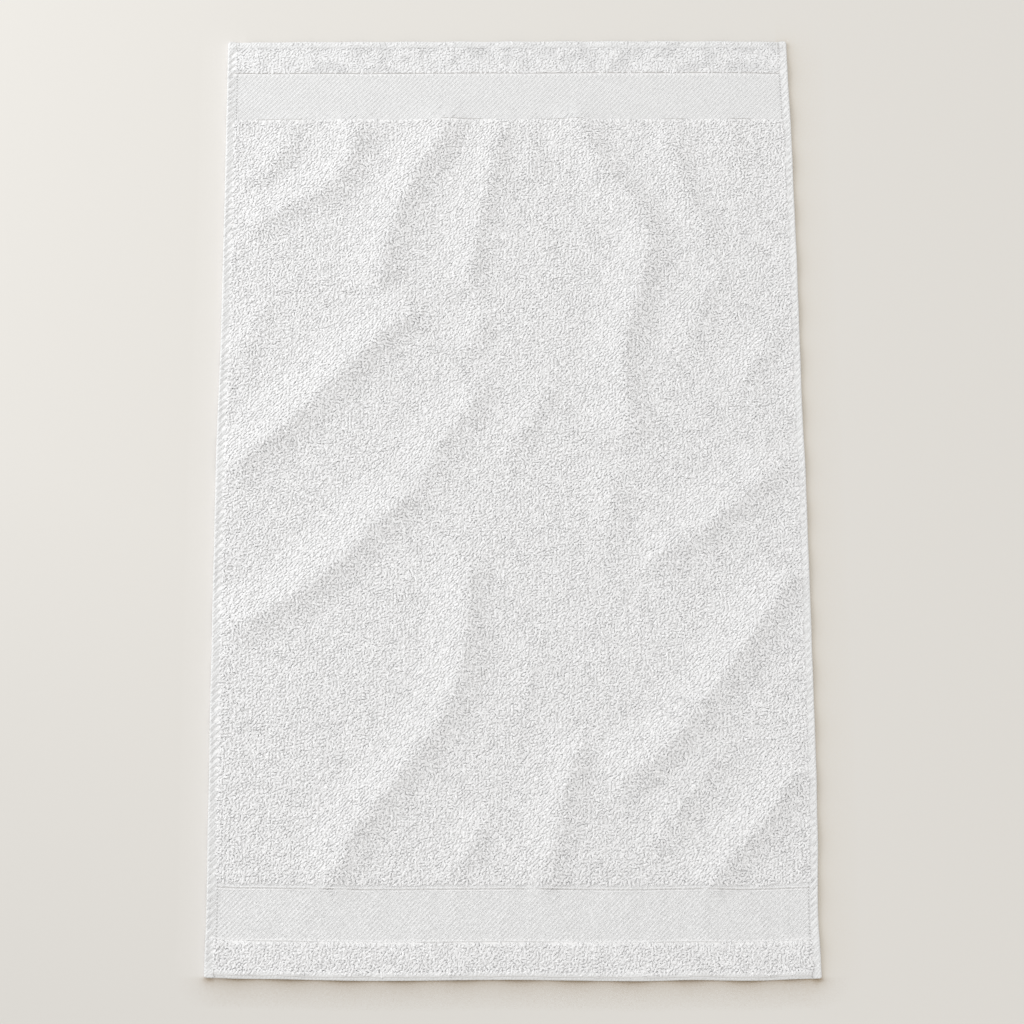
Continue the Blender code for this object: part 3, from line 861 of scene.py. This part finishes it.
def makeStitches():
    points, lines = [], []
    for side, width in ((-1, sideHem["leftWidth"]), (1, sideHem["rightWidth"])):
        for end in (-1, 1):
            u = side * (halfWidth - width - stitches["fromHem"])
            for v in (stitches["start"], stitches["end"]):
                points.append((u, end * v, stitches["height"]))
            lines.append((len(points) - 2, len(points) - 1))
    mesh = bpy.data.meshes.new("hemStitches")
    mesh.from_pydata(points, lines, [])
    carrier = bpy.data.objects.new("hemStitches", mesh)
    bpy.context.scene.collection.objects.link(carrier)
    shape = makeStitchShape()
    made = runNodes(carrier, makeStitchTree(),
                    {"Pitch": stitches["pitch"], "Shape": shape, "Thread": sewingThread})
    bpy.data.objects.remove(shape)
    return made


sewing = finishPiece(makeStitches())
print("stitches", len(sewing.data.polygons), "faces")


# Terry loops

loops = {
    "spacing": 0.0036,        # smallest distance between two roots
    "density": 500000,        # tries for each square metre
    "rootHeight": 0.0018,
    "halfWidth": 0.0020,      # of a loop's yarn
    "back": 0.0006,           # its ridge above the middle line
    "ridge": -0.0010,         # the ridge lies beside the middle, away from the light
    "belly": -0.0004,
    "hemRise": 0.0014,        # the roots climb this far where the pile runs over an end hem
    "hemRun": 0.005,
    "flow": math.radians(50), # loops lie along this direction
    "swing": math.radians(180),
    "swirlSize": 0.014,
    "jitter": math.radians(58),
    "wildness": 0.60,         # on flat cloth; more where a fold turns from the light
    "wildnessGain": 4.0,
    "calmest": 0.15,
}

# length, bend to one side, crest height
loopKinds = [
    (0.0098, 0.0024, 0.0014),
    (0.0092, -0.0024, 0.0017),
    (0.0072, 0.0036, 0.0019),
    (0.0072, -0.0036, 0.0018),
    (0.0094, 0.0000, 0.0013),
    (0.0078, 0.0000, 0.0016),
    (0.0068, 0.0000, 0.0018),
    (0.0106, 0.0000, 0.0012),
]

# patches of terry: name, start and end along the cloth, height of the pile, yarn, seed
fieldStart, fieldEnd = zoneSpan("field")
fieldCuts = np.linspace(fieldStart - 0.0012, fieldEnd - 0.0018, 6)
terryPatches = [
    ("terryLowerStrip", zoneSpan("lowerHem")[1] - 0.0036, zoneSpan("lowerStrip")[1] - 0.0036,
     0.78, terryYarn, 31),
    ("terryUpperStrip", zoneSpan("upperStrip")[0] + 0.0044, zoneSpan("upperStrip")[1] + 0.0070,
     0.57, stripYarn, 32),
]
for number in range(5):
    terryPatches.append((f"terryField{number + 1}", fieldCuts[number], fieldCuts[number + 1],
                         0.80, terryYarn, 11 + number))


def makeLoopShape(name, kind):
    # one loop: a three-sided yarn, bent or straight, with pointed ends that dip into the ground cloth
    length, bend, crest = kind
    share = np.array([0.0, 0.12, 0.5, 0.88, 1.0] if bend else [0.0, 0.20, 0.80, 1.0])
    x = (share - 0.5) * length
    y = bend * 4 * share * (1 - share) - bend / 2
    z = crest * np.sin(np.pi * share) ** 0.45
    centre = np.stack([x, y, z], axis=1)
    run = np.gradient(centre, axis=0)
    run /= np.linalg.norm(run, axis=1)[:, None]
    aside = np.stack([-run[:, 1], run[:, 0], np.zeros(len(run))], axis=1)
    aside /= np.linalg.norm(aside, axis=1)[:, None]
    up = np.cross(run, aside)
    rings = len(share) - 2
    girth = np.ones(len(share))
    if bend:
        girth[[1, -2]] = 0.76
    wide, belly = loops["halfWidth"], loops["belly"]
    points = [centre[0]]
    for k in range(1, rings + 1):
        for a, b in ((loops["ridge"], loops["back"]), (-wide, belly), (wide, belly)):
            points.append(centre[k] + girth[k] * (aside[k] * a + up[k] * b))
    points.append(centre[-1])
    faces = [(0, 1 + (k + 1) % 3, 1 + k) for k in range(3)]
    for ring in range(rings - 1):
        for k in range(3):
            a, b = 1 + ring * 3 + k, 1 + ring * 3 + (k + 1) % 3
            faces.append((a, b, b + 3, a + 3))
    last = rings * 3 - 2
    faces += [(last + k, last + (k + 1) % 3, last + 3) for k in range(3)]
    made = makeObject(name, np.array(points), faces)
    turnOutwards(made)
    # points 1, 4, 7... run along the ridge, and the others along the two lower corners
    for edge in made.data.edges:
        a, b = sorted(edge.vertices)
        lower = b - a == 3 and a % 3 != 1
        edge.use_edge_sharp = lower
    return made


def makeLoopCollection():
    kinds = bpy.data.collections.new("loopKinds")
    bpy.context.scene.collection.children.link(kinds)
    for number, kind in enumerate(loopKinds):
        shape = makeLoopShape(f"loopKind{number}", kind)
        bpy.context.scene.collection.objects.unlink(shape)
        kinds.objects.link(shape)
    return kinds


def makeLoopTree():
    tree = bpy.data.node_groups.new("terryLoops", "GeometryNodeTree")
    tree.interface.new_socket(name="Geometry", in_out="INPUT", socket_type="NodeSocketGeometry")
    for name, kind in (("Spacing", "NodeSocketFloat"), ("Density", "NodeSocketFloat"),
                       ("Swing", "NodeSocketFloat"), ("Swirl size", "NodeSocketFloat"),
                       ("Jitter", "NodeSocketFloat"), ("Pile height", "NodeSocketFloat"),
                       ("Seed", "NodeSocketInt"), ("Kinds", "NodeSocketInt"),
                       ("Loop kinds", "NodeSocketCollection"), ("Yarn", "NodeSocketMaterial")):
        tree.interface.new_socket(name=name, in_out="INPUT", socket_type=kind)
    tree.interface.new_socket(name="Geometry", in_out="OUTPUT", socket_type="NodeSocketGeometry")
    given = tree.nodes.new("NodeGroupInput")
    result = tree.nodes.new("NodeGroupOutput")

    def attribute(name):
        return firstOut(addNode(tree, "GeometryNodeInputNamedAttribute", {"Name": name}, data_type="FLOAT"))

    def random(low, high, step):
        seed = mathNode(tree, "ADD", given.outputs["Seed"], float(step))
        return addNode(tree, "FunctionNodeRandomValue", {2: low, 3: high, 8: seed},
                       data_type="FLOAT").outputs[1]

    roots = addNode(tree, "GeometryNodeDistributePointsOnFaces",
                    {"Mesh": given.outputs["Geometry"], "Distance Min": given.outputs["Spacing"],
                     "Density Max": given.outputs["Density"], "Seed": given.outputs["Seed"]},
                    distribute_method="POISSON")
    where = addNode(tree, "GeometryNodeInputPosition").outputs[0]
    swirl = addNode(tree, "ShaderNodeTexNoise",
                    {"Vector": where, "Scale": mathNode(tree, "DIVIDE", 1.0, given.outputs["Swirl size"]),
                     "Detail": 1.5}).outputs["Fac"]
    wild = attribute("wild")
    centred = mathNode(tree, "MULTIPLY", mathNode(tree, "SUBTRACT", swirl, 0.5), 2.0)
    swing = mathNode(tree, "MULTIPLY", centred, mathNode(tree, "MULTIPLY", wild, given.outputs["Swing"]))
    backJitter = mathNode(tree, "MULTIPLY", given.outputs["Jitter"], -1.0)
    jitter = mathNode(tree, "MULTIPLY", random(backJitter, given.outputs["Jitter"], 1),
                      mathNode(tree, "ADD", wild, 0.15))
    heading = mathNode(tree, "ADD", attribute("flow"), mathNode(tree, "ADD", swing, jitter))
    rotation = addNode(tree, "ShaderNodeCombineXYZ",
                       {"X": random(-0.16, 0.16, 2), "Y": random(-0.12, 0.12, 3), "Z": heading}).outputs[0]
    tall = mathNode(tree, "MULTIPLY", random(0.75, 1.2, 4),
                    mathNode(tree, "ADD", mathNode(tree, "MULTIPLY", wild, 0.45), 0.72))
    tall = mathNode(tree, "MULTIPLY", tall, given.outputs["Pile height"])
    scale = addNode(tree, "ShaderNodeCombineXYZ",
                    {"X": random(0.78, 1.22, 5), "Y": random(0.8, 1.12, 6), "Z": tall}).outputs[0]
    kinds = addNode(tree, "GeometryNodeCollectionInfo",
                    {"Collection": given.outputs["Loop kinds"], "Separate Children": True,
                     "Reset Children": True})
    pick = addNode(tree, "FunctionNodeRandomValue",
                   {4: 0, 5: mathNode(tree, "SUBTRACT", given.outputs["Kinds"], 1.0),
                    8: mathNode(tree, "ADD", given.outputs["Seed"], 7.0)}, data_type="INT").outputs[2]
    placed = addNode(tree, "GeometryNodeInstanceOnPoints",
                     {"Points": roots.outputs["Points"], "Instance": kinds.outputs[0], "Pick Instance": True,
                      "Instance Index": pick, "Rotation": rotation, "Scale": scale})
    whole = addNode(tree, "GeometryNodeRealizeInstances", {"Geometry": placed.outputs[0]})
    finished = addNode(tree, "GeometryNodeSetMaterial",
                       {"Geometry": whole.outputs[0], "Material": given.outputs["Yarn"]})
    tree.links.new(finished.outputs[0], result.inputs[0])
    return tree


def makeTerry(name, startV, endV, pileHeight, yarn, seed, tree, kinds):
    # a flat patch of ground under the loops; it knows how wild they are where a fold turns from the light
    west = -halfWidth + sideHem["leftWidth"]
    east = halfWidth - sideHem["rightWidth"]
    step = 0.006
    columns = round((east - west) / step) + 1
    rows = max(round((endV - startV) / step), 2) + 1
    u, v = np.meshgrid(np.linspace(west, east, columns), np.linspace(startV, endV, rows))
    u, v = u.ravel(), v.ravel()
    overHem = smoothStep((np.abs(v) - halfLength + endHem["width"]) / loops["hemRun"])
    height = loops["rootHeight"] + loops["hemRise"] * overHem
    carrier = makeObject(name, np.stack([u, v, height], axis=1), gridFaces(rows, columns))
    towardLight = (readMap(slopeX, u, v) - readMap(slopeY, u, v)) / math.sqrt(2)
    wild = np.clip(loops["wildness"] - loops["wildnessGain"] * towardLight, loops["calmest"], 1.0)
    flow = np.full_like(u, loops["flow"])
    for key, values in (("wild", wild), ("flow", flow)):
        field = carrier.data.attributes.new(key, "FLOAT", "POINT")
        field.data.foreach_set("value", values.astype(np.float32))
    return runNodes(carrier, tree, {
        "Spacing": loops["spacing"], "Density": loops["density"], "Swing": loops["swing"],
        "Swirl size": loops["swirlSize"], "Jitter": loops["jitter"], "Pile height": pileHeight,
        "Seed": seed, "Kinds": len(loopKinds), "Loop kinds": kinds, "Yarn": yarn})


loopTree = makeLoopTree()
loopCollection = makeLoopCollection()
for name, startV, endV, pileHeight, yarn, seed in terryPatches:
    piece = finishPiece(makeTerry(name, startV, endV, pileHeight, yarn, seed, loopTree, loopCollection))
    print(piece.name, sum(len(face.vertices) - 2 for face in piece.data.polygons), "triangles")
for shape in list(loopCollection.objects):
    bpy.data.objects.remove(shape)
bpy.data.collections.remove(loopCollection)


# Floor, light and camera

room = {
    "floorSize": 40.0,
    "floorGap": 0.0004,
    "floorLight": (0.683, 0.663, 0.632),
    # painted shade: the floor's colour is darker towards the near left corner
    "floorDarkest": 0.90,     # share of that colour left in the near left corner
    "floorLit": 1.25,         # the floor darkens where this, the rise and the unevenness add up to under one
    "floorRise": (0.6, 0.8),  # for each metre along X and along Y
    "floorUnevenness": 0.3,
    "lampSize": 3.2,
    "lampPlace": (-3.55, 1.95, 1.7),
    "lampPower": 103.0,
    "lampColour": (0.975, 1.0, 1.02),
    "skyColour": (1.01, 1.0, 0.98),
    "skyPower": 0.94,
}
# painted shadow and painted light on the floor close to the cloth, from occlusion rays: which side of the
# cloth the floor is on and where that side begins, how far the change reaches, its gain, and the colour
# where it is strongest
paintedShadowAndGlow = [
    ("X", 1, 0.425, 0.060, 5.0, (0.945, 0.90, 0.83)),   # soft warm shadow right of the cloth
    ("Y", -1, 0.744, 0.045, 4.4, (0.56, 0.46, 0.35)),   # deeper one below it
    ("X", -1, 0.425, 0.045, 4.0, (1.12, 1.12, 1.14)),   # lit side: light comes back from the hem
]
view = {
    "lens": 94.56,
    "sensor": 36.0,
    "distance": 4.1254,
    "tilt": math.radians(16.1),   # away from straight down
    "aim": (0.002, -0.0386, 0.0),
}


def makeFloor():
    material = bpy.data.materials.new("paleFloor")
    material.use_nodes = True
    tree = material.node_tree
    shader = tree.nodes["Principled BSDF"]
    where = addNode(tree, "ShaderNodeTexCoord").outputs["Object"]
    noise = addNode(tree, "ShaderNodeTexNoise", {"Vector": where, "Scale": 1.5, "Detail": 3.0})
    place = addNode(tree, "ShaderNodeSeparateXYZ", {"Vector": where})
    # painted shade: the floor's colour is darker towards the near left corner, as if less light reached it
    # there
    riseX, riseY = room["floorRise"]
    far = mathNode(tree, "ADD", mathNode(tree, "MULTIPLY", place.outputs["X"], riseX),
                   mathNode(tree, "MULTIPLY", place.outputs["Y"], riseY))
    unevenness = mathNode(tree, "MULTIPLY", noise.outputs["Fac"], room["floorUnevenness"])
    lit = addNode(tree, "ShaderNodeMath", {0: mathNode(tree, "ADD", far, room["floorLit"]), 1: unevenness},
                  operation="ADD", use_clamp=True).outputs[0]
    base = np.array(room["floorLight"])
    colour = addNode(tree, "ShaderNodeMix", {0: lit, 6: (*base * room["floorDarkest"], 1), 7: (*base, 1)},
                     data_type="RGBA").outputs[2]
    # each entry paints shade, or light on the lit side, into the floor's colour where the cloth is near on
    # that side
    for axis, side, start, reach, gain, change in paintedShadowAndGlow:
        towardCloth = addNode(tree, "ShaderNodeCombineXYZ", {axis: -0.95 * side, "Z": 0.30}).outputs[0]
        hidden = addNode(tree, "ShaderNodeAmbientOcclusion", {"Distance": reach, "Normal": towardCloth},
                         samples=3)
        close = addNode(tree, "ShaderNodeMath", {0: mathNode(tree, "SUBTRACT", 1.0, hidden.outputs["AO"]),
                                                 1: gain}, operation="MULTIPLY", use_clamp=True).outputs[0]
        beyond = mathNode(tree, "SUBTRACT", mathNode(tree, "MULTIPLY", place.outputs[axis], side), start)
        onSide = addNode(tree, "ShaderNodeMath", {0: beyond, 1: 200.0}, operation="MULTIPLY",
                         use_clamp=True).outputs[0]
        close = mathNode(tree, "MULTIPLY", close, onSide)
        colour = addNode(tree, "ShaderNodeMix", {0: close, 6: colour, 7: (*change, 1)},
                         data_type="RGBA", blend_type="MULTIPLY", clamp_result=False).outputs[2]
    tree.links.new(colour, shader.inputs["Base Color"])
    shader.inputs["Roughness"].default_value = 0.9
    shader.inputs["Specular IOR Level"].default_value = 0.1
    half = room["floorSize"] / 2
    corners = np.array([(-half, -half, 0), (half, -half, 0), (half, half, 0), (-half, half, 0)], float)
    corners[:, 2] = -room["floorGap"]
    floor = makeObject("floor", corners, [(0, 1, 2, 3)], material)


def aimAt(thing, place, target):
    thing.location = place
    thing.rotation_mode = "QUATERNION"
    thing.rotation_quaternion = (Vector(target) - Vector(place)).to_track_quat("-Z", "Y")


def makeLights():
    lamp = bpy.data.lights.new("windowLight", "AREA")
    lamp.size = room["lampSize"]
    lamp.energy = room["lampPower"]
    lamp.color = room["lampColour"]
    lampObject = bpy.data.objects.new("windowLight", lamp)
    lampObject.visible_camera = False
    bpy.context.scene.collection.objects.link(lampObject)
    aimAt(lampObject, room["lampPlace"], (0, 0, 0))
    world = bpy.data.worlds.new("softSky")
    world.use_nodes = True
    background = world.node_tree.nodes["Background"]
    background.inputs["Color"].default_value = (*room["skyColour"], 1)
    background.inputs["Strength"].default_value = room["skyPower"]
    bpy.context.scene.world = world


def makeCamera():
    lens = bpy.data.cameras.new("camera")
    lens.lens = view["lens"]
    lens.sensor_width = view["sensor"]
    lens.clip_end = 200.0
    camera = bpy.data.objects.new("camera", lens)
    bpy.context.scene.collection.objects.link(camera)
    aim = Vector(view["aim"])
    back = Vector((0, -math.sin(view["tilt"]), math.cos(view["tilt"])))
    aimAt(camera, aim + back * view["distance"], aim)
    bpy.context.scene.camera = camera


makeFloor()
makeLights()
makeCamera()
bpy.context.scene.view_settings.view_transform = "Standard"
print("floor, light and camera made")
